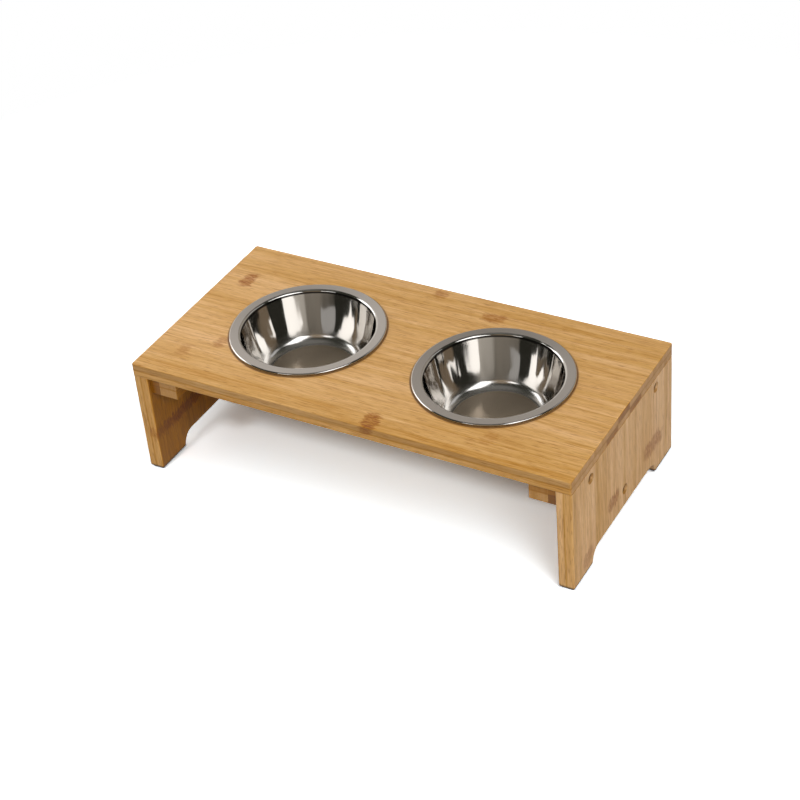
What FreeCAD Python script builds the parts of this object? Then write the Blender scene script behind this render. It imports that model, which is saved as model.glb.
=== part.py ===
import FreeCAD, Part
import cmath
import math
import os

# An elevated pet feeder: a low bamboo table with two steel bowls that drop into its top.
# Millimetres. +X runs to the right along the length, +Y to the back and +Z up.
# The origin is on the floor, under the middle of the table.

# Table
table_length = 405.0  # left to right, over the side panels
table_depth = 200.0  # front to back
table_height = 110.0  # floor to the board's top face

# Top board
board_thickness = 12.5
board_corner_round = 2.0  # the four upright corners, seen from above
board_edge_round = 1.0  # top and bottom edges, and the edges of the bowl holes

# Side panels
panel_thickness = 14.0
panel_setback = 0.5  # from the board's front and back edges
panel_edge_round = 1.5  # every edge but those that meet the board
foot_length = 36.0  # each foot, front to back
arch_height = 11.8  # over the panel's lower edge, and the radius of the arch's corners

# Cleats, one under the board against each side panel
cleat_width = 25.0  # out from the panel
cleat_height = 18.0
cleat_setback = 5.0  # from the board's front and back edges
cleat_edge_round = 0.8  # the edges that show

# Stretcher rail, low in the middle between the side panels
rail_thickness = 18.0  # front to back
rail_height = 25.0
rail_centre_height = 30.0  # over the floor
rail_edge_round = 1.5

# Foot pads
pad_thickness = 1.2
pad_inset = 0.1  # from the edge of the foot's flat face
pad_corner_round = 1.0

# Bowls, each pressed from one sheet. A bend's radius is on its inner side.
bowl_sheet = 0.7
bowl_opening_radius = 57.9  # where the line of the wall would meet the flange's top face
bowl_flange_width = 9.6  # from there to the outside of the rolled edge
bowl_place_share = 0.5695  # of the room that is left beside a bowl, how much is on its inner side
bowl_depth = 44.0  # from the flange's top face to the inside of the bottom
bowl_rest_gap = 0.05  # between the rolled edge and the board
bowl_hole_clearance = 1.4  # between a bowl and its hole in the board, all round
rim_roll_bend = 0.6  # the edge is rolled down and in, and stands on the board
rim_hem_length = 0.8  # the roll's flat end
mouth_bend = 1.8  # from the flange down into the bowl
wall_lean = 15.6  # how far the wall comes in, from the opening to where its line would meet the bottom
wall_belly = 2.8  # how far the wall stands out in the middle of its height, at the corner of its curve
wall_curve_share = 0.7  # of half the wall's line, how much the curve takes on each side of that corner
bottom_bend = 11.0  # from the wall to the bottom

# Wood screws
thread_radius = 2.0
root_radius = 1.4
thread_pitch = 1.8
tip_length = 4.0
head_radius = 4.0
pan_head_height = 2.4
pan_head_edge = 0.9  # straight side of the head, under its dome
cross_length = 4.4  # the cross recess, tip to tip
cross_width = 0.9
cross_depth = 1.2
screw_fit = 0.05  # all round a screw in its hole
counterbore_radius = 4.75
counterbore_depth = 5.5
panel_screw_length = 30.0  # under the head
panel_screw_row_length = 129.0  # between the two screws from a side panel into its cleat
rail_screw_length = 40.0  # under the head
board_screw_length = 24.0  # over all, countersunk into the cleat from below
board_screw_row_length = 150.0  # between the first and the last screw of a cleat
board_screw_count = 3  # in each cleat

# Worked out from the sizes above
board_underside = table_height - board_thickness
panel_outer_x = table_length / 2
panel_inner_x = panel_outer_x - panel_thickness
panel_half_depth = table_depth / 2 - panel_setback
cleat_underside = board_underside - cleat_height
cleat_inner_x = panel_inner_x - cleat_width
bowl_rim_radius = bowl_opening_radius + bowl_flange_width
bowl_hole_radius = bowl_opening_radius + bowl_sheet + bowl_hole_clearance
room_beside_bowl = cleat_inner_x - bowl_hole_radius - bowl_rim_radius
bowl_x = bowl_rim_radius + room_beside_bowl * bowl_place_share
wall_foot_radius = bowl_opening_radius - wall_lean
rim_height = 2 * (rim_roll_bend + bowl_sheet)
overrun = board_thickness  # how far a cutter passes the face that it enters by

LEFT, RIGHT = -1, 1
UP = FreeCAD.Vector(0, 0, 1)


# Shapes that several pieces share


def block(corner, opposite):
    """A box between two opposite corners, each (x, y, z)."""
    low = [min(pair) for pair in zip(corner, opposite)]
    high = [max(pair) for pair in zip(corner, opposite)]
    length, width, height = [b - a for a, b in zip(low, high)]
    return Part.makeBox(length, width, height, FreeCAD.Vector(*low))


def same(a, b):
    return math.isclose(a, b, abs_tol=table_length / 1e6)


def is_upright(edge):
    return same(edge.BoundBox.XLength, 0) and same(edge.BoundBox.YLength, 0)


def is_level(edge):
    return same(edge.BoundBox.ZLength, 0)


def runs_along_x(edge):
    return same(edge.BoundBox.YLength, 0) and same(edge.BoundBox.ZLength, 0)


def rounded(shape, radius, chosen):
    """The shape with a round on every edge that the function chosen picks."""
    return shape.makeFillet(radius, [edge for edge in shape.Edges if chosen(edge)])


def at(point):
    """A point (r, z) of a half section, in space."""
    return FreeCAD.Vector(point[0], 0, point[1])


def straight(points):
    """The edges that join (r, z) points in turn, leaving out any of no length."""
    pairs = [(at(a), at(b)) for a, b in zip(points, points[1:])]
    return [Part.LineSegment(a, b).toShape() for a, b in pairs if not same(a.distanceToPoint(b), 0)]


def arc(start, middle, end):
    return Part.Arc(at(start), at(middle), at(end)).toShape()


def turned(edges):
    """A solid turned about +Z from the edges round its half section."""
    wire = Part.Wire(Part.__sortEdges__(edges))
    return Part.Face(wire).revolve(FreeCAD.Vector(), UP, 360)


# Wood screws


def thread_section(start, length):
    """A screw's half section from under its head to its tip, with the thread drawn as rings."""
    rings = int((length - tip_length - start) / thread_pitch)
    points = [(root_radius, start)]
    for ring in range(rings):
        valley = start + ring * thread_pitch
        points.append((thread_radius, valley + thread_pitch / 2))
        points.append((root_radius, valley + thread_pitch))
    return points + [(0, length)]


def cross_recess(face):
    """The cutter for a screwdriver's cross, in a head whose outer face is at this height."""
    bars = []
    for half_x, half_y in ((cross_length / 2, cross_width / 2), (cross_width / 2, cross_length / 2)):
        bars.append(block((-half_x, -half_y, face - overrun), (half_x, half_y, face + cross_depth)))
    return bars[0].fuse(bars[1])


def placed(shape, place, direction):
    """The shape moved from the origin to a place, with its +Z turned to a direction."""
    shape.Placement = FreeCAD.Placement(place, FreeCAD.Rotation(UP, direction))
    return shape


def pan_head_screw(place, direction, length):
    """A screw whose head stands on a face at place, with its tip pointing along the direction."""
    dome = pan_head_height - pan_head_edge
    ball = (head_radius ** 2 + dome ** 2) / (2 * dome)
    sag = ball - math.sqrt(ball ** 2 - (head_radius / 2) ** 2)
    top, brim = (0, -pan_head_height), (head_radius, -pan_head_edge)
    body = [brim, (head_radius, 0)] + thread_section(0, length)
    edges = [arc(top, (head_radius / 2, sag - pan_head_height), brim)] + straight(body + [top])
    return placed(turned(edges).cut(cross_recess(-pan_head_height)), place, direction)


def countersunk_screw(place, direction, length):
    """A screw whose flat head is flush with a face at place."""
    centre, brim = (0, 0), (head_radius, 0)
    body = thread_section(head_radius - root_radius, length)
    edges = straight([centre, brim] + body + [centre])
    return placed(turned(edges).cut(cross_recess(0)), place, direction)


def screw_hole(place, direction, length):
    """The cutter for the hole that a screw's thread fills."""
    return Part.makeCylinder(thread_radius + screw_fit, length + screw_fit, place, direction)


def panel_screw_places(side):
    """The two upper screws' seats, at the bottom of their counterbores."""
    x = side * (panel_outer_x - counterbore_depth)
    z = board_underside - cleat_height / 2
    half_row = panel_screw_row_length / 2
    return [FreeCAD.Vector(x, y, z) for y in (-half_row, half_row)]


def rail_screw_place(side):
    return FreeCAD.Vector(side * (panel_outer_x - counterbore_depth), 0, rail_centre_height)


def board_screw_places(side):
    """The centres of the flat heads, in the underside of a cleat."""
    x = side * (panel_inner_x - cleat_width / 2)
    step = board_screw_row_length / (board_screw_count - 1)
    rows = [-board_screw_row_length / 2 + n * step for n in range(board_screw_count)]
    return [FreeCAD.Vector(x, y, cleat_underside) for y in rows]


def panel_screws(side):
    inward = FreeCAD.Vector(-side, 0, 0)
    screws = [pan_head_screw(place, inward, panel_screw_length) for place in panel_screw_places(side)]
    return Part.makeCompound(screws)


def rail_screw(side):
    return pan_head_screw(rail_screw_place(side), FreeCAD.Vector(-side, 0, 0), rail_screw_length)


def board_screws(side):
    screws = [countersunk_screw(place, UP, board_screw_length) for place in board_screw_places(side)]
    return Part.makeCompound(screws)


# Wooden pieces


def top_board():
    """The board, with the two bowl holes and the blind ends of the holes for the screws from below."""
    x, y = table_length / 2, table_depth / 2
    board = block((-x, -y, board_underside), (x, y, table_height))
    board = rounded(board, board_corner_round, is_upright)
    for side in (LEFT, RIGHT):
        bottom = FreeCAD.Vector(side * bowl_x, 0, board_underside - overrun)
        board = board.cut(Part.makeCylinder(bowl_hole_radius, board_thickness + 2 * overrun, bottom, UP))
    board = rounded(board, board_edge_round, is_level)
    for side in (LEFT, RIGHT):
        for place in board_screw_places(side):
            board = board.cut(screw_hole(place, UP, board_screw_length))
    return board


def arch_cutter():
    """The flat arch between the feet of a side panel, with a quarter circle at each end."""
    x = panel_outer_x + overrun
    y = panel_half_depth - foot_length - arch_height
    cutter = block((-x, -y, -overrun), (x, y, pad_thickness + arch_height))
    for end in (-y, y):
        start = FreeCAD.Vector(-x, end, pad_thickness)
        cutter = cutter.fuse(Part.makeCylinder(arch_height, 2 * x, start, FreeCAD.Vector(1, 0, 0)))
    return cutter


def panel_fixings(side):
    """Every screw through a side panel: where its head sits, and its length."""
    upper = [(place, panel_screw_length) for place in panel_screw_places(side)]
    return upper + [(rail_screw_place(side), rail_screw_length)]


def side_panel(side):
    """An upright end of the table, on two feet, with its screws' counterbores in the outer face."""
    y = panel_half_depth
    panel = block((side * panel_inner_x, -y, pad_thickness), (side * panel_outer_x, y, board_underside))
    panel = panel.cut(arch_cutter())

    def shows(edge):
        return not same(edge.BoundBox.ZMin, board_underside)

    panel = rounded(panel, panel_edge_round, shows)
    inward = FreeCAD.Vector(-side, 0, 0)
    for place, length in panel_fixings(side):
        counterbore = Part.makeCylinder(counterbore_radius, counterbore_depth + overrun, place, -inward)
        panel = panel.cut(counterbore).cut(screw_hole(place, inward, length))
    return panel


def cleat(side):
    """The batten that joins a side panel to the board, with holes for both lots of screws."""
    x_wall = side * panel_inner_x
    y = table_depth / 2 - cleat_setback
    batten = block((x_wall, -y, cleat_underside), (x_wall - side * cleat_width, y, board_underside))

    def shows(edge):
        box = edge.BoundBox
        on_board = same(box.ZMin, board_underside)
        on_panel = same(box.XMin, x_wall) and same(box.XMax, x_wall)
        return not on_board and not on_panel

    batten = rounded(batten, cleat_edge_round, shows)
    for place in panel_screw_places(side):
        batten = batten.cut(screw_hole(place, FreeCAD.Vector(-side, 0, 0), panel_screw_length))
    sink = head_radius + screw_fit
    for place in board_screw_places(side):
        countersink = Part.makeCone(sink, 0, sink, place, UP)
        batten = batten.cut(countersink).cut(screw_hole(place, UP, board_screw_length))
    return batten


def stretcher_rail():
    """The low rail that holds the two side panels apart, screwed through both."""
    x, y, z = panel_inner_x, rail_thickness / 2, rail_height / 2
    rail = block((-x, -y, rail_centre_height - z), (x, y, rail_centre_height + z))
    rail = rounded(rail, rail_edge_round, runs_along_x)
    for side in (LEFT, RIGHT):
        inward = FreeCAD.Vector(-side, 0, 0)
        rail = rail.cut(screw_hole(rail_screw_place(side), inward, rail_screw_length))
    return rail


# Foot pads


def foot_pad(side, end):
    """A thin rubber pad under one foot, on the flat that is left between the foot's rounded edges."""
    margin = panel_edge_round + pad_inset
    near = (side * (panel_inner_x + margin), end * (panel_half_depth - foot_length + margin), 0)
    far = (side * (panel_outer_x - margin), end * (panel_half_depth - margin), pad_thickness)
    return rounded(block(near, far), pad_corner_round, is_upright)


# Bowls


def bowl_corners():
    """The face of the bowl that shows, from the end of the rolled edge to the middle of the bottom.
    Each corner is (r, z, bend), with z measured from the rolled edge's foot."""
    roll = rim_roll_bend + bowl_sheet
    mouth = complex(bowl_opening_radius, rim_height)
    foot = complex(wall_foot_radius, rim_height - bowl_depth)
    belly = (mouth + foot) / 2 + wall_belly
    turn = abs(cmath.phase((foot - belly) / (belly - mouth)))
    belly_bend = min(abs(belly - mouth), abs(foot - belly)) * wall_curve_share / math.tan(turn / 2)
    return [
        (bowl_rim_radius - roll - rim_hem_length, 0, 0),
        (bowl_rim_radius, 0, rim_roll_bend),
        (bowl_rim_radius, rim_height, rim_roll_bend),
        (mouth.real, mouth.imag, mouth_bend),
        (belly.real, belly.imag, belly_bend),
        (foot.real, foot.imag, bottom_bend),
        (0, foot.imag, 0),
    ]


def sheet_face(corners, depth):
    """The edges of one face of a bent sheet, with their first and last point. The face at depth 0
    follows the corners, and the sheet lies to its left. Points are complex numbers, r + z * 1j, so
    1j turns a way to its left. A bend's radius grows by what lies between its inner side and the face."""

    def pair(number):
        return number.real, number.imag

    spots = [complex(r, z) for r, z, _ in corners]
    ways = [(b - a) / abs(b - a) for a, b in zip(spots, spots[1:])]
    first = spots[0] + 1j * depth * ways[0]
    last = spots[-1] + 1j * depth * ways[-1]
    here, edges = first, []
    for (_, _, bend), spot, way_in, way_out in zip(corners[1:], spots[1:], ways, ways[1:]):
        turn = cmath.phase(way_out / way_in)
        radius = bend + (bowl_sheet - depth if turn > 0 else depth)
        mitre = spot + (1j - math.tan(turn / 2)) * depth * way_in
        reach = radius * math.tan(abs(turn) / 2)
        start, end = mitre - reach * way_in, mitre + reach * way_out
        centre = start + math.copysign(radius, turn) * 1j * way_in
        middle = centre + radius * (mitre - centre) / abs(mitre - centre)
        edges += straight([pair(here), pair(start)]) + [arc(pair(start), pair(middle), pair(end))]
        here = end
    return edges + straight([pair(here), pair(last)]), pair(first), pair(last)


def bowl(side):
    """One bowl: the bent sheet turned about its own axis, standing on the board by its rolled edge."""
    shown, shown_start, shown_end = sheet_face(bowl_corners(), 0)
    hidden, hidden_start, hidden_end = sheet_face(bowl_corners(), bowl_sheet)
    ends = straight([shown_start, hidden_start]) + straight([shown_end, hidden_end])
    shape = turned(shown + hidden + ends)
    seat = FreeCAD.Vector(side * bowl_x, 0, table_height + bowl_rest_gap)
    return placed(shape, seat, UP)


# Every piece, and its file


def pieces():
    """Each piece's name and shape."""
    yield "top_board", top_board()
    yield "stretcher_rail", stretcher_rail()
    for side, name in ((LEFT, "left"), (RIGHT, "right")):
        yield f"{name}_side_panel", side_panel(side)
        yield f"{name}_cleat", cleat(side)
        yield f"{name}_panel_screws", panel_screws(side)
        yield f"{name}_rail_screw", rail_screw(side)
        yield f"{name}_board_screws", board_screws(side)
        yield f"{name}_bowl", bowl(side)
        for end, place in ((-1, "front"), (1, "back")):
            yield f"{place}_{name}_foot_pad", foot_pad(side, end)


os.makedirs("parts", exist_ok=True)
for piece, shape in pieces():
    shape.exportStep(f"parts/{piece}.step")
    print(f"{piece}: {len(shape.Solids)} solid(s), {shape.Volume:.1f} mm3, valid {shape.isValid()}")
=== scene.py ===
import math

import bpy
import numpy as np
from mathutils import Matrix, Vector


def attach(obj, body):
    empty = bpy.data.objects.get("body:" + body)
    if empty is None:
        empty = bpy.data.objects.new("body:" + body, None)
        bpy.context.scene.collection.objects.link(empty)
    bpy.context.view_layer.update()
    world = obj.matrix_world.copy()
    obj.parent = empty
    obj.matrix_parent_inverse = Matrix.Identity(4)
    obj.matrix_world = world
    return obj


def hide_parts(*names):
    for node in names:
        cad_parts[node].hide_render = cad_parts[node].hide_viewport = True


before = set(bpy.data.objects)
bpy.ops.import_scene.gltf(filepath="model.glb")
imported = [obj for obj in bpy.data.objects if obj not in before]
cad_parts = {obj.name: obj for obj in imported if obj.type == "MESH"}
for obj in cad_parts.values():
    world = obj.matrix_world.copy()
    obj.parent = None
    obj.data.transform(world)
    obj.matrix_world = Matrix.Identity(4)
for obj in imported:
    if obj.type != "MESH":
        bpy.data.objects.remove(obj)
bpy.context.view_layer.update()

# Camera. A short telephoto view from a standing height, over the feeder's front right corner, with the
# camera tipped a few degrees to its side. Its place is in metres and its lens in millimetres.
camera_place = Vector((0.70502, -1.13988, 1.04625))
camera_look = Vector((-0.42535, 0.68459, -0.59196)).normalized()
camera_roll = math.radians(5.428)
camera_near = 0.05
sensor_width = 36.0
focal_length = 88.586

level = camera_look.cross(Vector((0, 0, 1))).normalized()
right = level * math.cos(camera_roll) + camera_look.cross(level) * math.sin(camera_roll)
camera_axes = Matrix((right, right.cross(camera_look), -camera_look)).transposed().to_4x4()
camera = bpy.data.objects.new("camera", bpy.data.cameras.new("camera"))
camera.data.sensor_width = sensor_width
camera.data.lens = focal_length
camera.data.clip_start = camera_near
camera.matrix_world = Matrix.Translation(camera_place) @ camera_axes
bpy.context.scene.collection.objects.link(camera)
bpy.context.scene.camera = camera
bpy.context.scene.view_settings.view_transform = "Standard"


# Floor and light. A white studio: an endless floor of matt white paper that keeps the feeder's soft shadow,
# a dim even room, soft boxes beyond the left end and to the right of the camera, two weak ones, and a small
# bare lamp over the front, which draws the shadow under the board.
white = "#FFFFFF"
floor_bounce = 0.50  # how much of its light the paper gives back to the feeder
floor_shown = (1.73, 1.84, 1.91, 1.0)  # how much the camera sees of it, white but for the shadow
floor_mirrored = 0.55  # how much the steel and the lacquer see of it, as far as the sheet of paper reaches
floor_mirrored_beyond = 0.02
paper_reach = 0.55
paper_end = 1.5 * paper_reach  # from here on the camera sees plain white, so a low view shows no horizon
floor_half_size = 12.0
floor_points = 13
room_level = 0.20  # the even room's own light


def linear(colour):
    """The linear RGBA of an sRGB hex colour such as #D3A768."""
    shares = np.array([int(colour[place:place + 2], 16) for place in (1, 3, 5)]) / 255
    light = np.where(shares <= 0.04045, shares / 12.92, ((shares + 0.055) / 1.055) ** 2.4)
    return (*light.tolist(), 1.0)


def node(tree, kind, inputs=(), **settings):
    """Adds a shader node with its settings, and links or fills its inputs.

    An input is a plain value, a socket, or a node, which stands for its first output.
    """
    made = tree.nodes.new("ShaderNode" + kind)
    for name, value in settings.items():
        setattr(made, name, value)
    for socket, value in dict(inputs).items():
        source = value.outputs[0] if isinstance(value, bpy.types.Node) else value
        if isinstance(source, bpy.types.NodeSocket):
            tree.links.new(source, made.inputs[socket])
        else:
            made.inputs[socket].default_value = source
    return made


def empty_material(name):
    """A new material and its node tree, with nothing in it yet."""
    material = bpy.data.materials.new(name)
    material.use_nodes = True
    material.node_tree.nodes.clear()
    return material, material.node_tree


def ray_kinds(tree):
    """Two shares, 0 or 1: whether a ray comes from the camera, and whether it was mirrored or let through."""
    path = node(tree, "LightPath")
    mirrored = node(tree, "Math", {
        0: path.outputs["Is Glossy Ray"], 1: path.outputs["Is Transmission Ray"]}, operation="MAXIMUM")
    return path.outputs["Is Camera Ray"], mirrored


def mesh_object(name, points, faces):
    """An object at the origin, with a mesh of these points (n, 3) and faces."""
    mesh = bpy.data.meshes.new(name)
    mesh.from_pydata(points, [], faces)
    made = bpy.data.objects.new(name, mesh)
    bpy.context.scene.collection.objects.link(made)
    return made


def grid_faces(rows, columns, closed):
    """The quads of a grid of rows x columns points. A closed grid joins its last column to its first."""
    used = columns if closed else columns - 1
    row, column = np.meshgrid(np.arange(rows - 1), np.arange(used), indexing="ij")
    here, below = row * columns, (row + 1) * columns
    after = (column + 1) % columns
    return np.stack((here + column, here + after, below + after, below + column), axis=-1).reshape(-1, 4)


world = bpy.data.worlds.new("white studio")
bpy.context.scene.world = world
world.use_nodes = True
tree = world.node_tree
tree.nodes.clear()
from_camera, mirrored = ray_kinds(tree)
seen = node(tree, "Math", {0: from_camera, 1: mirrored}, operation="MAXIMUM")
strength = node(tree, "MapRange", {"Value": seen, "To Min": room_level, "To Max": 1.0})
background = node(tree, "Background", {"Color": linear(white), "Strength": strength})
node(tree, "OutputWorld", {"Surface": background})

# Matt white paper: no shine at all, and so evenly lit that only the shadow shows
paper, tree = empty_material("matt_white_paper")
from_camera, mirrored = ray_kinds(tree)
away = node(tree, "VectorMath", {0: node(tree, "TexCoord").outputs["Object"]}, operation="LENGTH")
beyond = node(tree, "MapRange", {
    "Value": away.outputs["Value"], "From Min": paper_reach, "From Max": paper_end})
mirror_level = node(tree, "Mix", {0: beyond, 2: floor_mirrored, 3: floor_mirrored_beyond}, data_type="FLOAT")
given = node(tree, "Mix", {0: mirrored, 2: floor_bounce, 3: mirror_level}, data_type="FLOAT")
given = node(tree, "Mix", {0: from_camera, 6: given, 7: floor_shown}, data_type="RGBA").outputs[2]
far = node(tree, "Math", {0: beyond, 1: from_camera}, operation="MULTIPLY")
sheet = node(tree, "MixShader", {
    0: far, 1: node(tree, "BsdfDiffuse", {"Color": given}),
    2: node(tree, "Emission", {"Color": linear(white), "Strength": 1.0})})
node(tree, "OutputMaterial", {"Surface": sheet})

steps = np.linspace(-floor_half_size, floor_half_size, floor_points)
across, along = np.meshgrid(steps, steps)
floor = mesh_object(
    "floor", np.stack((across, along, np.zeros_like(across)), axis=-1).reshape(-1, 3),
    grid_faces(floor_points, floor_points, False))
floor.data.materials.append(paper)

# What the steel and the lacquer mirror: a dark room with lighter parts, and the soft boxes' white cloths.
# Only mirrored rays see these. The light itself comes from lamps in the same places.
room_radius = 4.0
room_rows, room_columns = 24, 48
room_top, room_foot = 0.002, math.radians(91)  # angles from straight up
room_dark = "#3A3A34"
room_grey = "#AAA399"
room_pale = "#F0EBE3"
room_brown = "#9C8B76"
room_above = "#7C7A76"
brown_towards = (0.18, -0.85, 0.50)  # the lighter part of the room, around the camera
pale_towards = (-0.80, 0.46, 0.38)  # and the lightest, behind the left end
box_distance = 3.0

# A soft box is placed in degrees as seen from the middle: azimuth from +X, angle from straight up, width,
# height and roll. glow is how bright its cloth is, if it has one, and level the light of its lamp, if any.
soft_boxes = (
    dict(azimuth=180, from_up=62, width=35, height=32, roll=0, glow=2.6, level=0.24, lamp_distance=0.8),
    dict(azimuth=332, from_up=44, width=47, height=26, roll=45, glow=2.6, level=0.66, lamp_distance=3.0),
    dict(azimuth=260, from_up=55, width=15, height=10, roll=0, glow=2.4, level=0.05, lamp_distance=3.0),
    dict(azimuth=260, from_up=44, width=6, height=6, roll=0, glow=None, level=0.225, lamp_distance=3.0),
    dict(azimuth=45, from_up=49, width=26, height=12, roll=0, glow=0.7, level=None))


def only_mirrored(piece):
    """Shows a piece of the studio to mirrored rays alone."""
    piece.visible_camera = False
    piece.visible_diffuse = False
    piece.visible_transmission = False
    piece.visible_shadow = False


def directions(azimuth, from_up):
    """Unit vectors (..., 3) at these azimuths and angles from straight up, in radians."""
    flat = np.sin(from_up)
    return np.stack((flat * np.cos(azimuth), flat * np.sin(azimuth), np.cos(from_up)), axis=-1)


from_up, azimuth = np.meshgrid(
    np.linspace(room_top, room_foot, room_rows),
    np.linspace(0, 2 * math.pi, room_columns, endpoint=False), indexing="ij")
room = mesh_object(
    "studio_room", (directions(azimuth, from_up) * room_radius).reshape(-1, 3),
    grid_faces(room_rows, room_columns, True))

# Matt grey walls: their lighter parts fade in between two cosines of the angle to each part's middle
walls, tree = empty_material("matt_grey_wall")
outwards = node(tree, "VectorMath", {
    0: node(tree, "TexCoord").outputs["Object"], 1: (room_radius,) * 3}, operation="DIVIDE")
axis = node(tree, "SeparateXYZ", {0: outwards})
ahead, aside = [
    node(tree, "VectorMath", {0: outwards, 1: Vector(towards).normalized()}, operation="DOT_PRODUCT")
    for towards in (brown_towards, pale_towards)]
colour = linear(room_dark)
for source, start, end, lighter in (
        (axis.outputs["Y"], 0.40, 0.85, room_grey), (aside.outputs["Value"], 0.79, 0.98, room_pale),
        (axis.outputs["Z"], 0.85, 1.0, room_above), (ahead.outputs["Value"], 0.89, 0.98, room_brown)):
    share = node(tree, "MapRange", {
        "Value": source, "From Min": start, "From Max": end}, interpolation_type="SMOOTHSTEP")
    colour = node(tree, "Mix", {0: share, 6: colour, 7: linear(lighter)}, data_type="RGBA").outputs[2]
node(tree, "OutputMaterial", {"Surface": node(tree, "Emission", {"Color": colour})})
room.data.materials.append(walls)
only_mirrored(room)

for number, box in enumerate(soft_boxes, 1):
    from_up, roll = math.radians(box["from_up"]), math.radians(box["roll"])
    towards = directions(math.radians(box["azimuth"]), from_up)
    flat = np.cross([0, 0, 1], towards) / math.sin(from_up)
    steep = np.cross(towards, flat)
    sideways = flat * math.cos(roll) + steep * math.sin(roll)
    upwards = steep * math.cos(roll) - flat * math.sin(roll)
    half_size = box_distance * np.tan(np.radians((box["width"] / 2, box["height"] / 2)))
    if box["glow"]:
        share_across, share_up = np.meshgrid((-1, 0, 1), (-1, 0, 1))
        points = (
            towards * box_distance + share_across[..., None] * half_size[0] * sideways
            + share_up[..., None] * half_size[1] * upwards)
        cloth = mesh_object(f"soft_box_{number}", points.reshape(-1, 3), grid_faces(3, 3, False))
        lit, tree = empty_material("lit_white_cloth")
        shine = node(tree, "Emission", {"Color": linear(white), "Strength": box["glow"]})
        node(tree, "OutputMaterial", {"Surface": shine})
        cloth.data.materials.append(lit)
        only_mirrored(cloth)
    if box["level"]:
        distance = box["lamp_distance"]
        lamp = bpy.data.objects.new(f"lamp {number}", bpy.data.lights.new(f"lamp {number}", "AREA"))
        lamp.data.shape = "RECTANGLE"
        lamp.data.size, lamp.data.size_y = 2 * half_size * distance / box_distance
        # This energy makes a white face that is turned to the lamp show its level
        lamp.data.energy = box["level"] * (math.pi * distance) ** 2
        lamp_axes = Matrix((sideways, upwards, towards)).transposed().to_4x4()
        lamp.matrix_world = Matrix.Translation(towards * distance) @ lamp_axes
        lamp.visible_glossy = False
        bpy.context.scene.collection.objects.link(lamp)


# Top board. A panel glued up from bamboo strips 22.9 mm wide in two layers, sanded and finished with a
# satin clear lacquer. Each strip has its own tone, fine fibre streaks along it, and here and there the
# brown band of a node, where a cane's joint was planed away.
strip_width = 0.0229
strip_count = 9
first_strip = -strip_width * strip_count / 2
board_join = 0.10375  # the height where its two layers meet
bamboo_pale = "#EEC38C"
bamboo_main = "#DCAC6F"
bamboo_deep = "#BD8A50"
bamboo_fleck = "#965F28"
bamboo_node = "#9A560C"
bamboo_end = "#B98A55"
# painted shade deep in the counterbores and along the feet's lowest edge, and the darker upper layer of the
# board's front edge
bamboo_shade_and_dark_layer = "#54341A"
# painted shadow on the board just outside each bowl's rim, where the rolled edge stands on it
bamboo_rim_shadow = "#6E4526"
glue_half_width = 0.00022  # of the line where two strips meet
glue_lightening = 0.2
glue_groove = 1.2  # how deep it lies, against the fibres' own relief
join_half_width = 0.0013  # of the darker line where two layers meet
join_tone = 0.78
fibre_sizes = (  # length and width of one streak, and the noise's detail
    (0.0556, 0.0024, 3.0),  # a bundle of fibres
    (0.0167, 0.0006, 2.0),  # single fibres, drawn as coarse as it takes to show them
    (0.0111, 0.00067, 1.0))  # the dark flecks, likewise
singles_share = 0.45  # how much of the streaks is single fibres, against bundles
end_grain_share = 0.72  # how far the cut ends' own colour hides the streaks
drift_length, drift_width = 0.20, 0.0071
drift_darkest, drift_lightest = 0.87, 1.06
layer_seed = 31.7  # uneven steps, by which the patterns of neighbouring layers and strips are set apart
strip_seeds = (7.31, 3.77, 0.0)
drift_seed = 5.3
notch_size = 0.0042  # of the notches in a node's outline
notch_depth = 0.0012
bar_length, bar_width = 0.0043, 0.00083  # of the dark fibres that a node is made of
bar_run_out = 0.0025  # how far they run out of it
lacquer_dull, lacquer_shiny = 0.50, 0.38
coat_weight, coat_roughness = 0.35, 0.35
fibre_relief = 0.00012


def glued_strips(tree, across, through, start, join):
    """The number of a point's strip and layer, its nearness to a glue line, and the tone of the layers' join.

    Strips are counted across from start. A layer is 0 below the join and 1 above it. The nearness goes from
    0 to 1, where two strips meet.
    """
    strips = node(tree, "Math", {0: across, 1: start}, operation="SUBTRACT")
    strips = node(tree, "Math", {0: strips, 1: strip_width}, operation="DIVIDE")
    strip = node(tree, "Math", {0: strips}, operation="FLOOR")
    beside = node(tree, "Math", {0: strips}, operation="FRACT")
    beside = node(tree, "Math", {0: beside, 1: 0.5}, operation="SUBTRACT")
    from_middle = node(tree, "Math", {0: beside}, operation="ABSOLUTE")
    glue = node(tree, "MapRange", {
        "Value": from_middle, "From Min": 0.5 - glue_half_width / strip_width, "From Max": 0.5})
    layer = node(tree, "Math", {0: through, 1: join}, operation="GREATER_THAN")
    over = node(tree, "Math", {0: through, 1: join}, operation="SUBTRACT")
    from_join = node(tree, "Math", {0: over}, operation="ABSOLUTE")
    joined = node(tree, "MapRange", {
        "Value": from_join, "From Max": join_half_width, "To Min": join_tone, "To Max": 1.0})
    return strip, layer, glue, joined


def fibre_streaks(tree, grain, seed):
    """Three noises drawn out along the grain. The seed moves them on, so no streak crosses a glue line."""
    fibres = []
    for length, width, detail in fibre_sizes:
        stretched = node(tree, "VectorMath", {0: grain, 1: (length, width, width)}, operation="DIVIDE")
        broken = node(tree, "VectorMath", {0: seed, 1: strip_seeds, 2: stretched}, operation="MULTIPLY_ADD")
        fibres.append(node(tree, "TexNoise", {
            "Vector": broken, "Scale": 1.0, "Detail": detail, "Roughness": 0.6}))
    return fibres


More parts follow.
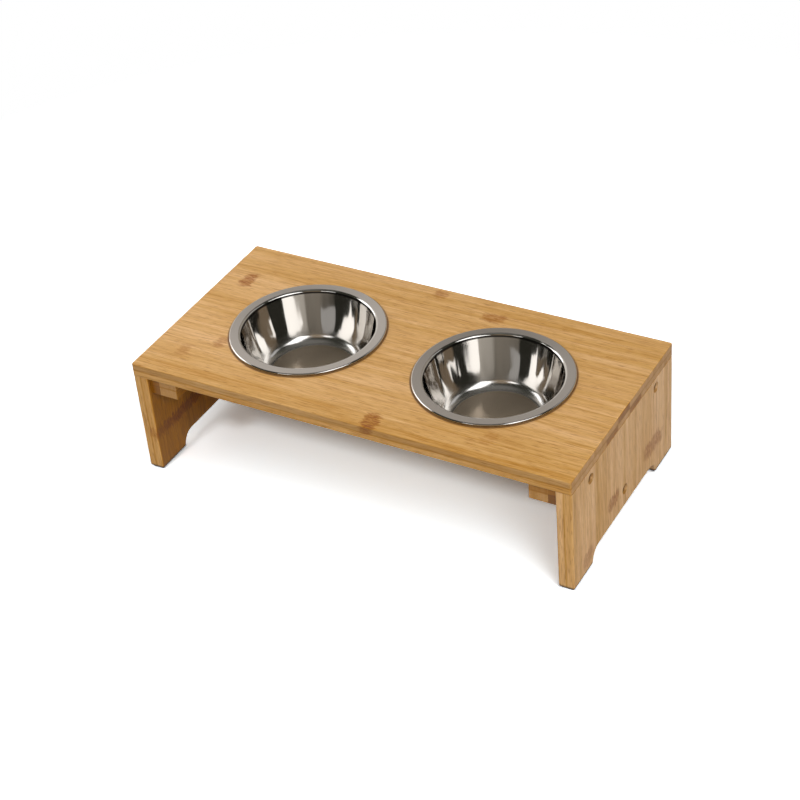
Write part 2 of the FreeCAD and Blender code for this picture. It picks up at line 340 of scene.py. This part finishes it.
def strip_tone(tree, share, row):
    """Half the tone that the row gives a strip. share is how far along the row the strip is, from 0 to 1."""
    halves = node(tree, "ValToRGB", {0: share})
    halves.color_ramp.interpolation = "CONSTANT"
    stops = halves.color_ramp.elements
    for index, tone in enumerate(row):
        stop = stops[0] if index == 0 else stops.new(index / strip_count)
        stop.color = (tone / 2, tone / 2, tone / 2, 1)
    stops.remove(stops[-1])
    return halves


def share_of_box(tree, point, centre, half_size):
    """A point's place from a box's centre, as shares of its half size."""
    apart = node(tree, "VectorMath", {0: point, 1: centre}, operation="SUBTRACT")
    return node(tree, "VectorMath", {0: apart, 1: half_size}, operation="DIVIDE")


def node_bands(tree, bent, marks):
    """How much of a cane's node is at a point, from 0 to 1: boxes with round corners that fade outwards."""
    marked = 0.0
    for centre, half_size, strength in marks:
        local = share_of_box(tree, bent, centre, half_size)
        squared = node(tree, "VectorMath", {0: local, 1: local}, operation="MULTIPLY")
        reach = node(tree, "VectorMath", {0: squared}, operation="LENGTH")
        band = node(tree, "MapRange", {
            "Value": reach.outputs["Value"], "From Min": 1.15, "From Max": 0.45, "To Min": 0.0,
            "To Max": strength}, interpolation_type="SMOOTHSTEP")
        marked = node(tree, "Math", {0: marked, 1: band}, operation="MAXIMUM")
    return marked


def darkened_in_boxes(tree, colour, grain, bores):
    """The colour, darkened inside boxes that fade over the last four tenths of their half size."""
    for centre, half_size, strength in bores:
        local = share_of_box(tree, grain, centre, half_size)
        sides = node(tree, "SeparateXYZ", {0: node(tree, "VectorMath", {0: local}, operation="ABSOLUTE")})
        beside = node(tree, "Math", {0: sides.outputs[0], 1: sides.outputs[1]}, operation="MAXIMUM")
        reach = node(tree, "Math", {0: beside, 1: sides.outputs[2]}, operation="MAXIMUM")
        share = node(tree, "MapRange", {
            "Value": reach, "From Min": 1.0, "From Max": 0.6, "To Min": 0.0, "To Max": strength})
        colour = node(tree, "Mix", {
            0: share, 6: colour, 7: linear(bamboo_shade_and_dark_layer)}, data_type="RGBA").outputs[2]
    return colour


def painted_rim_shadow(tree, colour, along, across, rings):
    """The colour, darkened with painted shadow in rings that fade to both sides of their radius."""
    for centre, radius, half_width, strength in rings:
        flat = node(tree, "CombineXYZ", {0: along, 1: across})
        apart = node(tree, "VectorMath", {0: flat, 1: (*centre, 0.0)}, operation="DISTANCE")
        over = node(tree, "Math", {0: apart.outputs["Value"], 1: radius}, operation="SUBTRACT")
        share = node(tree, "MapRange", {
            "Value": node(tree, "Math", {0: over}, operation="ABSOLUTE"), "From Min": half_width,
            "From Max": 0.0, "To Min": 0.0, "To Max": strength}, interpolation_type="SMOOTHSTEP")
        colour = node(tree, "Mix", {
            0: share, 6: colour, 7: linear(bamboo_rim_shadow)}, data_type="RGBA").outputs[2]
    return colour


def bamboo(
        name, axes, start, join, face_tones, end_tones, marks=(), bores=(), rings=(), shade=1.0, flecked=0.5):
    """Lacquered bamboo, glued up from strips, as a solid pattern: warm straw with a satin, streaky shine.

    axes are the letters of the directions along the grain, across the strips and through the layers, start
    is where the first strip starts, and join where the two layers meet. The tones are two rows of strip
    brightnesses, for the layers below and above the join. A mark is the band of a node, and a bore is
    painted shade on the wall of a hole or along a foot's lowest edge, or a layer's darker edge. Both are
    given as centre, half size (along, across, through) and strength. A ring, given as centre, radius, half
    width and strength, is painted shadow on the wood round a bowl's edge. shade is the tone of the face
    that looks along the last axis, painted shade where that face lies in the shade, and flecked is how
    strong the dark flecks are.
    """
    material, tree = empty_material(name)
    coordinates = node(tree, "TexCoord")
    place = node(tree, "SeparateXYZ", {0: coordinates.outputs["Object"]})
    facing = node(tree, "SeparateXYZ", {0: coordinates.outputs["Normal"]})
    along, across, through = [place.outputs[axis] for axis in axes]
    grain = node(tree, "CombineXYZ", {0: along, 1: across, 2: through})
    strip, layer, glue, joined = glued_strips(tree, across, through, start, join)

    # Pale and deep fibre streaks, with darker flecks among them
    seed = node(tree, "Math", {0: layer, 1: layer_seed, 2: strip}, operation="MULTIPLY_ADD")
    bundles, singles, dark = fibre_streaks(tree, grain, seed)
    streaks = node(tree, "Mix", {0: singles_share, 2: bundles, 3: singles}, data_type="FLOAT")
    colour = node(tree, "ValToRGB", {
        0: node(tree, "MapRange", {"Value": streaks, "From Min": 0.29, "From Max": 0.71})})
    colour.color_ramp.elements[0].color = linear(bamboo_deep)
    colour.color_ramp.elements[1].color = linear(bamboo_pale)
    colour.color_ramp.elements.new(0.5).color = linear(bamboo_main)
    flecks = node(tree, "MapRange", {
        "Value": dark, "From Min": 0.56, "From Max": 0.70, "To Min": 0.0, "To Max": flecked},
        interpolation_type="SMOOTHSTEP")
    colour = node(tree, "Mix", {0: flecks, 6: colour, 7: linear(bamboo_fleck)}, data_type="RGBA").outputs[2]

    # The ends of the strips show the cut fibres, darker and pinker than the long faces
    end_facing = node(tree, "Math", {0: facing.outputs[axes[0]]}, operation="ABSOLUTE")
    is_end = node(tree, "MapRange", {"Value": end_facing, "From Min": 0.6, "From Max": 0.85})
    end_grain = node(tree, "Mix", {
        0: end_grain_share, 6: colour, 7: linear(bamboo_end)}, data_type="RGBA").outputs[2]
    colour = node(tree, "Mix", {0: is_end, 6: colour, 7: end_grain}, data_type="RGBA").outputs[2]

    # The tone of each strip, which drifts slowly along it, as the cane's wall changes
    share = node(tree, "Math", {0: strip, 1: 0.5}, operation="ADD")
    share = node(tree, "Math", {0: share, 1: strip_count}, operation="DIVIDE")
    lower_face, upper_face, lower_end, upper_end = [
        strip_tone(tree, share, row) for row in (*face_tones, *end_tones)]
    face_tone = node(tree, "Mix", {0: layer, 2: lower_face, 3: upper_face}, data_type="FLOAT")
    end_tone = node(tree, "Mix", {0: layer, 2: lower_end, 3: upper_end}, data_type="FLOAT")
    half_tone = node(tree, "Mix", {0: is_end, 2: face_tone, 3: end_tone}, data_type="FLOAT")
    slow = node(tree, "VectorMath", {
        0: node(tree, "CombineXYZ", {0: along, 1: across, 2: seed}),
        1: (1 / drift_length, 1 / drift_width, drift_seed)}, operation="MULTIPLY")
    tone = node(tree, "MapRange", {
        "Value": node(tree, "TexNoise", {"Vector": slow, "Scale": 1.0, "Detail": 2.0}),
        "From Min": 0.3, "From Max": 0.7,
        "To Min": node(tree, "Math", {0: half_tone, 1: 2 * drift_darkest}, operation="MULTIPLY"),
        "To Max": node(tree, "Math", {0: half_tone, 1: 2 * drift_lightest}, operation="MULTIPLY")})
    tone = node(tree, "Math", {0: glue, 1: glue_lightening, 2: tone}, operation="MULTIPLY_ADD")
    # Painted shade: the face that looks along the last axis takes the tone shade, darker where it lies in the
    # shade
    shaded = node(tree, "MapRange", {
        "Value": facing.outputs[axes[2]], "From Min": 0.5, "From Max": 0.9, "To Min": 1.0, "To Max": shade})
    tone = node(tree, "Math", {0: tone, 1: shaded}, operation="MULTIPLY")
    tone = node(tree, "Math", {0: tone, 1: joined}, operation="MULTIPLY")

    # Nodes: a ragged band across the strip, broken up by dark fibres that run out of it
    if marks:
        ragged = node(tree, "TexNoise", {
            "Vector": coordinates.outputs["Object"], "Scale": 1 / notch_size, "Detail": 3.0})
        notches = node(tree, "MapRange", {
            "Value": ragged, "From Min": 0.3, "From Max": 0.7, "To Min": -notch_depth, "To Max": notch_depth})
        run_out = node(tree, "MapRange", {
            "Value": bundles, "From Min": 0.35, "From Max": 0.65,
            "To Min": -bar_run_out, "To Max": bar_run_out})
        shift = node(tree, "CombineXYZ", {
            0: node(tree, "Math", {0: notches, 1: run_out}, operation="ADD"), 1: notches})
        marked = node_bands(tree, node(tree, "VectorMath", {0: grain, 1: shift}, operation="ADD"), marks)
        bars = node(tree, "VectorMath", {0: grain, 1: (bar_length, bar_width, bar_width)}, operation="DIVIDE")
        broken = node(tree, "MapRange", {
            "Value": node(tree, "TexNoise", {"Vector": bars, "Scale": 1.0, "Detail": 2.0}),
            "From Min": 0.44, "From Max": 0.60, "To Min": 0.45, "To Max": 1.0})
        marked = node(tree, "Math", {0: marked, 1: broken}, operation="MULTIPLY", use_clamp=True)
        colour = node(tree, "Mix", {
            0: marked, 6: colour, 7: linear(bamboo_node)}, data_type="RGBA").outputs[2]

    # A darker strip is also a warmer and redder one
    warmth = node(tree, "MapRange", {
        "Value": tone, "From Min": 0.6, "From Max": 1.2, "To Min": 1.35, "To Max": 0.90})
    redder = node(tree, "MapRange", {
        "Value": tone, "From Min": 0.6, "From Max": 0.9, "To Min": 0.488, "To Max": 0.5})
    colour = node(tree, "HueSaturation", {
        "Hue": redder, "Saturation": warmth, "Value": tone, "Color": colour})
    # Painted shade in holes and under the feet, a darker layer, and painted shadow round the bowls' rims
    colour = darkened_in_boxes(tree, colour.outputs[0], grain, bores)
    colour = painted_rim_shadow(tree, colour, along, across, rings)

    rough = node(tree, "MapRange", {
        "Value": streaks, "From Min": 0.3, "From Max": 0.7, "To Min": lacquer_dull, "To Max": lacquer_shiny})
    height = node(tree, "Math", {0: glue, 1: -glue_groove, 2: streaks}, operation="MULTIPLY_ADD")
    bump = node(tree, "Bump", {"Strength": 0.35, "Distance": fibre_relief, "Height": height})
    lacquered = node(tree, "BsdfPrincipled", {
        "Base Color": colour, "Roughness": rough, "Normal": bump, "IOR": 1.5, "Coat Weight": coat_weight,
        "Coat Roughness": coat_roughness})
    node(tree, "OutputMaterial", {"Surface": lacquered})
    return material


def dress(name, material):
    """Gives a CAD node its own material."""
    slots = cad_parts[name].data.materials
    slots.clear()
    slots.append(material)


board_tones = (
    (0.90, 1.0, 1.02, 0.98, 1.0, 0.99, 1.02, 1.0, 1.0),
    (0.92, 0.98, 1.02, 1.01, 1.02, 0.99, 1.02, 0.97, 1.0))
board_end_tones = (
    (1.0, 1.02, 0.98, 0.66, 1.0, 0.66, 0.98, 1.02, 0.96),
    (0.98, 1.0, 0.97, 1.0, 0.62, 1.0, 1.0, 0.96, 1.0))
mark_height, mark_depth = 0.1075, 0.006  # in the upper layer, which they go right through
board_marks = [
    ((along, across, mark_height), (half_length, half_width, mark_depth), strength)
    for along, across, half_length, half_width, strength in (
        (-0.1780, 0.0475, 0.0070, 0.0118, 1.0),
        (0.0240, -0.0910, 0.0075, 0.0120, 1.0),
        (-0.0085, 0.0920, 0.0075, 0.0065, 0.65),
        (0.0500, 0.0760, 0.0110, 0.0070, 0.75),
        (-0.1485, -0.0440, 0.0055, 0.0090, 0.65),
        (-0.1720, -0.0650, 0.0060, 0.0105, 0.42),
        (0.1200, -0.0740, 0.0060, 0.0090, 0.35))]
past_both_ends = 0.3  # half of a length that is longer than any piece
front_edge = ((0, -0.1002, 0.1072), (past_both_ends, 0.0008, 0.0042), 0.26)  # its darker upper layer
bowl_x = 0.088
# Painted shadow: a dark ring on the board just outside each bowl's rim
ring_radius, ring_half_width, ring_strength = 0.0678, 0.0017, 0.9
bowl_rings = [((x, 0), ring_radius, ring_half_width, ring_strength) for x in (bowl_x, -bowl_x)]
dress("top_board", bamboo(
    "bamboo_board", "XYZ", first_strip, board_join, board_tones, board_end_tones, board_marks, [front_edge],
    bowl_rings))


# Side panels. Upright pieces of the same glued-up bamboo with the grain running down, each sawn with a
# shallow arch that leaves two feet, rounded over, and drilled and counterbored for its screws.
panel_join = 0.1955  # where its two layers meet, in the middle of its thickness
plain_tones = (1.0,) * strip_count
right_outer_tones = (1.03, 1.10, 0.94, 1.09, 1.11, 1.06, 1.10, 1.13, 1.15)
right_inner_tones = (1.06, 1.0, 0.97, 1.0, 1.02, 0.98, 1.0, 1.0, 1.0)
left_outer_tones = (0.90, 1.0, 1.02, 0.98, 1.0, 1.02, 0.97, 1.0, 0.98)
left_inner_tones = (0.92, 1.05, 0.96, 1.02, 1.0, 1.05, 0.98, 1.02, 1.0)
right_marks = (
    ((0.0345, -0.0225, 0.1985), (0.0075, 0.0115, 0.008), 0.95),
    ((0.0340, 0.0580, 0.1985), (0.0085, 0.0220, 0.008), 0.85),
    ((0.0150, -0.0735, 0.1985), (0.0085, 0.0095, 0.008), 0.70))
left_marks = (((0.0390, 0.0, -0.1920), (0.0065, 0.1150, 0.0065), 1.0),)
bore_places = ((0.0885, -0.0645), (0.0885, 0.0645), (0.0300, 0.0))  # height and distance from the middle
bore_from_middle = 0.1975
bore_box = (0.0080, 0.0080, 0.0035)  # half size of the box in which a counterbore's walls get painted shade
foot_edge_box = (0.0043, past_both_ends, 0.03)  # and of the one that paints shade along the feet's lowest edge, the dark gap under each foot
painted_shade_strength = 0.9
inner_shade = 0.58  # the left panel's inner face lies in the shade and looks deeper brown


def panel_bores(side):
    """Painted shade in the counterbores and along the feet's lowest edge, for the right side, 1, or the left,
    -1.
    """
    bores = [((*place, side * bore_from_middle), bore_box, painted_shade_strength) for place in bore_places]
    return bores + [((0, 0, side * panel_join), foot_edge_box, painted_shade_strength)]


dress("right_side_panel", bamboo(
    "bamboo_right_panel", "ZYX", first_strip, panel_join, (right_inner_tones, right_outer_tones),
    (plain_tones, plain_tones), right_marks, panel_bores(1)))
dress("left_side_panel", bamboo(
    "bamboo_left_panel", "ZYX", first_strip, -panel_join, (left_outer_tones, left_inner_tones),
    (plain_tones, plain_tones), left_marks, panel_bores(-1), shade=inner_shade, flecked=0.6))


# Cleats and stretcher rail. Battens of the same bamboo, sawn square and screwed in place: a cleat under
# the board against each side panel, and the rail low down between the two panels.
cleat_middle = 0.0885
cleat_join = 0.1802  # where a strip ends, 8.3 mm from the panel
rail_middle = 0.030
# Painted shade: the cleats lie in the shade under the board, so all their strips are darker, and their ends
# darkest next to the panels
cleat_shaded_tones = (0.75,) * strip_count
left_end_tones = ((0.5, 1.0) + cleat_shaded_tones[2:], (0.6, 0.95) + cleat_shaded_tones[2:])
right_end_tones = ((0.98, 0.5) + cleat_shaded_tones[2:], (0.8, 0.75) + cleat_shaded_tones[2:])
dress("left_cleat", bamboo(
    "bamboo_left_cleat", "YXZ", -cleat_join - strip_width, cleat_middle, (cleat_shaded_tones, cleat_shaded_tones),
    left_end_tones))
dress("right_cleat", bamboo(
    "bamboo_right_cleat", "YXZ", cleat_join - strip_width, cleat_middle, (cleat_shaded_tones, cleat_shaded_tones),
    right_end_tones))
dress("stretcher_rail", bamboo(
    "bamboo_rail", "XYZ", first_strip, rail_middle, (plain_tones, plain_tones), (plain_tones, plain_tones)))


# Wood screws. Steel, cold headed and thread rolled, with a thin zinc plating that has dulled to a soft,
# cloudy grey, a little yellow. They hold the panels to the cleats and the rail, and the cleats to the
# board.
zinc_bright = "#B9B4A6"
zinc_dull = "#8E887A"
zinc_spangle = 0.0011  # size of the brighter and duller patches
zinc_relief = 0.00003
zinc_rough, zinc_smooth = 0.5, 0.3
zinc, tree = empty_material("zinc_plated_steel")
bloom = node(tree, "TexNoise", {
    "Vector": node(tree, "TexCoord").outputs["Object"], "Scale": 1 / zinc_spangle, "Detail": 3.0})
tint = node(tree, "ValToRGB", {0: bloom})
tint.color_ramp.elements[0].color = linear(zinc_dull)
tint.color_ramp.elements[1].color = linear(zinc_bright)
rough = node(tree, "MapRange", {"Value": bloom, "To Min": zinc_rough, "To Max": zinc_smooth})
bump = node(tree, "Bump", {"Strength": 0.2, "Distance": zinc_relief, "Height": bloom})
plated = node(tree, "BsdfPrincipled", {
    "Base Color": tint, "Metallic": 1.0, "Roughness": rough, "Normal": bump})
node(tree, "OutputMaterial", {"Surface": plated})
for side in ("left", "right"):
    for use in ("panel_screws", "rail_screw", "board_screws"):
        dress(f"{side}_{use}", zinc)


# Foot pads. Thin dark rubber sheet, punched to the shape of the foot and stuck on, which lifts the wood
# off the floor and keeps it from slipping. To the eye it is a dull, nearly black line without a shine.
rubber_dark = "#1E1C1A"
rubber_worn = "#37332F"
rubber_grain = 0.0007  # the sheet's fine grain, drawn several times coarser so that it shows
rubber_relief = 0.00005
rubber_roughness = 0.85
rubber, tree = empty_material("black_sheet_rubber")
grain = node(tree, "TexNoise", {
    "Vector": node(tree, "TexCoord").outputs["Object"], "Scale": 1 / rubber_grain, "Detail": 4.0})
tint = node(tree, "ValToRGB", {0: grain})
tint.color_ramp.elements[0].color = linear(rubber_dark)
tint.color_ramp.elements[1].color = linear(rubber_worn)
bump = node(tree, "Bump", {"Strength": 0.4, "Distance": rubber_relief, "Height": grain})
punched = node(tree, "BsdfPrincipled", {"Base Color": tint, "Roughness": rubber_roughness, "Normal": bump})
node(tree, "OutputMaterial", {"Surface": punched})
for place in ("front_left", "back_left", "front_right", "back_right"):
    dress(f"{place}_foot_pad", rubber)


# Bowls. Each is deep drawn from one sheet of stainless steel, with its edge rolled down and in so that it
# stands on the board. The inside is mirror polished, the flange and the flat bottom are left satin.
bowl_sheet = 0.0007
bowl_foot = 0.11005  # the underside of the rolled edge, just over the board
rim_radius = 0.0675
rim_height = 0.0026
roll_reach = 0.0021  # how far the edge is rolled in under the rim
roll_bend = 0.0006
mouth_radius = 0.0579
mouth_bend = 0.0018
bowl_depth = 0.044
wall_lean = 0.0156  # how far the wall comes in on its way down
wall_belly = 0.0028  # how far it stands out in the middle of its height, at the corner of its curve
wall_curve_share = 0.7  # how much of the wall's shorter half that curve takes
bottom_bend = 0.0110
bowl_segments = 256
longest_facet = 0.0015
arc_facet = 0.0009
arc_step = math.radians(5)
fewest_arc_steps = 8


def pressed_profile(corners, sheet):
    """The shown face of a bent sheet, as points (n, 2) from end to end, and the directions in which it faces.

    Each corner (radius, height, bend) is rounded by an arc that touches both its lines. The sheet lies to
    the left of the path, so an arc that turns left is as much larger than its bend as the sheet is thick.
    """
    points, facing = [], []
    path = np.array([corner[:2] for corner in corners])
    for index, here in enumerate(path):
        if index in (0, len(corners) - 1):
            ahead = path[1] - path[0] if index == 0 else path[-1] - path[-2]
            ahead = ahead / np.linalg.norm(ahead)
            points.append(here[None])
            facing.append(np.array([[ahead[1], -ahead[0]]]))
            continue
        before = (here - path[index - 1]) / np.linalg.norm(here - path[index - 1])
        after = (path[index + 1] - here) / np.linalg.norm(path[index + 1] - here)
        turn = math.atan2(before[0] * after[1] - before[1] * after[0], before @ after)
        bend = corners[index][2]
        size = bend + sheet if turn > 0 else bend
        reach = size * math.tan(abs(turn) / 2)
        side = np.array([-before[1], before[0]]) * math.copysign(1, turn)
        centre = here - before * reach + side * size
        steps = max(fewest_arc_steps, int(abs(turn) * size / arc_facet), int(abs(turn) / arc_step))
        angles = np.linspace(0, turn, steps + 1)
        out = -side
        arms = np.stack((
            out[0] * np.cos(angles) - out[1] * np.sin(angles),
            out[0] * np.sin(angles) + out[1] * np.cos(angles)), axis=1)
        points.append(centre + arms * size)
        facing.append(arms * math.copysign(1, turn))
    return np.concatenate(points), np.concatenate(facing)


def fill_in(points, facing, longest):
    """Adds points to a profile so that no step is longer than this."""
    lengths = np.linalg.norm(np.diff(points, axis=0), axis=1)
    counts = np.maximum(1, np.ceil(lengths / longest)).astype(int)
    starts = np.repeat(np.arange(len(counts)), counts)
    shares = (np.arange(counts.sum()) - np.repeat(np.cumsum(counts) - counts, counts)) / counts[starts]
    points, facing = [
        np.vstack((ends[starts] + (ends[starts + 1] - ends[starts]) * shares[:, None], ends[-1:]))
        for ends in (points, facing)]
    return points, facing / np.linalg.norm(facing, axis=1)[:, None]


def carried_round(pairs):
    """Pairs of radius r and height h (n, 2) as (r cos a, r sin a, h), for each step of the angle a."""
    angles = np.linspace(0, 2 * math.pi, bowl_segments, endpoint=False)
    ring = np.stack((np.cos(angles), np.sin(angles)), axis=-1)
    heights = np.broadcast_to(pairs[:, None, 1:], (len(pairs), bowl_segments, 1))
    return np.concatenate((pairs[:, None, :1] * ring, heights), axis=-1).reshape(-1, 3)


def bowl(name, x):
    """A bowl: the closed half section of the sheet, carried once round the upright line at x.

    The hidden face lies one sheet's thickness behind the shown one. Both end in a point on the axis, which
    is joined to its last ring by a fan, and a last row of faces closes the sheet's edge.
    """
    mouth = np.array([mouth_radius, rim_height])
    wall_foot = mouth - [wall_lean, bowl_depth]
    belly = (mouth + wall_foot) / 2 + [wall_belly, 0]
    upper, lower = belly - mouth, wall_foot - belly
    turn = abs(math.atan2(upper[0] * lower[1] - upper[1] * lower[0], upper @ lower))
    shorter = min(np.linalg.norm(upper), np.linalg.norm(lower))
    shown, out = fill_in(*pressed_profile((
        (rim_radius - roll_reach, 0, 0), (rim_radius, 0, roll_bend), (rim_radius, rim_height, roll_bend),
        (*mouth, mouth_bend), (*belly, shorter * wall_curve_share / math.tan(turn / 2)),
        (*wall_foot, bottom_bend), (0, wall_foot[1], 0)), bowl_sheet), longest_facet)
    hidden = shown - out * bowl_sheet
    points = np.vstack((
        carried_round(np.vstack((shown[:-1], hidden[:-1][::-1]))),
        [[0, 0, shown[-1, 1]], [0, 0, hidden[-1, 1]]])) + [x, 0, bowl_foot]
    normals = np.vstack((carried_round(np.vstack((out[:-1], -out[:-1][::-1]))), [[0, 0, 1], [0, 0, -1]]))

    rows = len(shown) - 1
    face = grid_faces(rows, bowl_segments, True)
    here = np.arange(bowl_segments)
    after = (here + 1) % bowl_segments
    shown_last, hidden_first, hidden_last = [row * bowl_segments for row in (rows - 1, rows, 2 * rows - 1)]
    hem = np.stack((hidden_last + here, hidden_last + after, after, here), axis=1)
    shown_pole, hidden_pole = len(points) - 2, len(points) - 1
    fans = np.vstack((
        np.stack((shown_last + here, shown_last + after, np.full_like(here, shown_pole)), axis=1),
        np.stack((hidden_first + after, hidden_first + here, np.full_like(here, hidden_pole)), axis=1)))
    quads = np.vstack((face, face + hidden_first, hem))
    made = mesh_object(name, points, quads.tolist() + fans.tolist())
    made.data.polygons.foreach_set("use_smooth", np.ones(len(made.data.polygons), dtype=bool))
    made.data.normals_split_custom_set_from_vertices(normals)
    return made


bowls = {side: bowl(f"{side}_pressed_bowl", x) for side, x in (("left", -bowl_x), ("right", bowl_x))}

# Stainless steel: a bright mirror on the walls, softer on the bend at the bottom, and a dull grey sheen with
# fine rubbing marks on the flange and the bottom, where the press's own finish was left
steel_shine = "#CFCCC8"
steel_satin = "#D0CBC8"
steel_bottom = "#CBBCA9"
steel_dark_reflection = "#24211E"
polish_roughness = 0.05
flange_roughness = 0.32
bottom_roughness = 0.48
bend_roughness = 0.12  # what the bend at the bottom has more than the wall
brushing = 0.3  # how much the satin faces draw a light out
scuff_size = 0.0014  # patches of finer and coarser rubbing
scuff_roughness = 0.04
bowl_top = bowl_foot + rim_height
bowl_floor = bowl_top - bowl_depth
flange_heights = (bowl_top - 0.00009, bowl_top - 0.00003)  # between these the wall's polish ends
bottom_heights = (bowl_floor + 0.00020, bowl_floor + 0.00005)  # and here it ends at the bottom
bend_heights = (0.082, 0.072)  # where the bend at the bottom begins to dull the polish, and where it is full
dark_reflection_starts = (0.1094, 0.1101)  # a painted reflection: the dark line right under the mouth's bend, where the wall's top mirrors the dark room
dark_reflection_ends = (0.1117, 0.1111)
dark_reflection_strength = 0.9
flange_dish = 0.07  # the flange's slope down to the mouth
wave_heights = (0.075, 0.085)  # between these start the faint upright waves that deep drawing leaves
waves_around = 4.5  # how many over a bowl's radius
waves_upwards = 9.0  # and over a metre of its height
waves_aside = 9.0  # how far each bowl's waves lie to its side of the pattern, so that the two differ
wave_size = 0.0008  # how high they stand, which in the mirror draws the lights out into streaks
steel, tree = empty_material("stainless_steel")
coordinates = node(tree, "TexCoord")
place = node(tree, "SeparateXYZ", {0: coordinates.outputs["Object"]})
height = place.outputs["Z"]
flange = node(tree, "MapRange", {
    "Value": height, "From Min": flange_heights[0], "From Max": flange_heights[1]})
bottom = node(tree, "MapRange", {
    "Value": height, "From Min": bottom_heights[0], "From Max": bottom_heights[1]})
tint = node(tree, "Mix", {0: flange, 6: linear(steel_shine), 7: linear(steel_satin)}, data_type="RGBA")
tint = node(tree, "Mix", {0: bottom, 6: tint.outputs[2], 7: linear(steel_bottom)}, data_type="RGBA")
# Painted reflection: a dark line just under the mouth's bend, where the wall's top mirrors the dark room
line = node(tree, "Math", {
    0: node(tree, "MapRange", {"Value": height, "From Min": dark_reflection_starts[0], "From Max": dark_reflection_starts[1]}),
    1: node(tree, "MapRange", {
        "Value": height, "From Min": dark_reflection_ends[0], "From Max": dark_reflection_ends[1], "To Max": dark_reflection_strength})},
    operation="MULTIPLY")
tint = node(tree, "Mix", {0: line, 6: tint.outputs[2], 7: linear(steel_dark_reflection)}, data_type="RGBA")

bend = node(tree, "MapRange", {
    "Value": height, "From Min": bend_heights[0], "From Max": bend_heights[1], "To Max": bend_roughness},
    interpolation_type="SMOOTHSTEP")
rough = node(tree, "MapRange", {"Value": flange, "To Min": polish_roughness, "To Max": flange_roughness})
rough = node(tree, "Math", {0: rough, 1: bend}, operation="ADD")
rough = node(tree, "Mix", {0: bottom, 2: rough, 3: bottom_roughness}, data_type="FLOAT")
scuffs = node(tree, "TexNoise", {
    "Vector": coordinates.outputs["Object"], "Scale": 1 / scuff_size, "Detail": 3.0})
rough = node(tree, "Math", {0: scuffs, 1: scuff_roughness, 2: rough}, operation="MULTIPLY_ADD")
satin = node(tree, "Math", {0: flange, 1: bottom}, operation="MAXIMUM")
brushed = node(tree, "Math", {0: satin, 1: brushing}, operation="MULTIPLY")

# Where a point lies around its own bowl: the direction out from the bowl's middle
side = node(tree, "Math", {0: place.outputs["X"]}, operation="SIGN")
from_middle = node(tree, "CombineXYZ", {
    0: node(tree, "Math", {0: side, 1: -bowl_x, 2: place.outputs["X"]}, operation="MULTIPLY_ADD"),
    1: place.outputs["Y"]})
outwards = node(tree, "VectorMath", {0: from_middle}, operation="NORMALIZE")
own_start = node(tree, "Math", {0: side, 1: waves_aside}, operation="MULTIPLY")
upwards = node(tree, "Math", {0: height, 1: waves_upwards, 2: own_start}, operation="MULTIPLY_ADD")
around = node(tree, "VectorMath", {
    0: outwards, 1: (waves_around, waves_around, 0.0), 2: node(tree, "CombineXYZ", {2: upwards})},
    operation="MULTIPLY_ADD")
waves = node(tree, "TexNoise", {"Vector": around, "Scale": 1.0, "Detail": 0.0})

# The waves bend what the wall mirrors, and the flange leans down towards the mouth
wavy = node(tree, "MapRange", {"Value": height, "From Min": wave_heights[0], "From Max": wave_heights[1]})
wavy = node(tree, "Math", {0: wavy, 1: flange}, operation="SUBTRACT", use_clamp=True)
slope = node(tree, "Math", {0: flange, 1: -flange_dish}, operation="MULTIPLY")
dished = node(tree, "VectorMath", {0: outwards, "Scale": slope}, operation="SCALE")
tilted = node(tree, "VectorMath", {0: coordinates.outputs["Normal"], 1: dished}, operation="ADD")
facing = node(tree, "VectorMath", {0: tilted}, operation="NORMALIZE")
bump = node(tree, "Bump", {"Strength": wavy, "Distance": wave_size, "Height": waves, "Normal": facing})
polished = node(tree, "BsdfPrincipled", {
    "Base Color": tint.outputs[2], "Metallic": 1.0, "Roughness": rough, "Normal": bump, "Tangent": outwards,
    "Anisotropic": brushed})
node(tree, "OutputMaterial", {"Surface": polished})
for side, piece in bowls.items():
    piece.data.materials.append(steel)
    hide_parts(f"{side}_bowl")
    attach(piece, f"{side}_bowl")
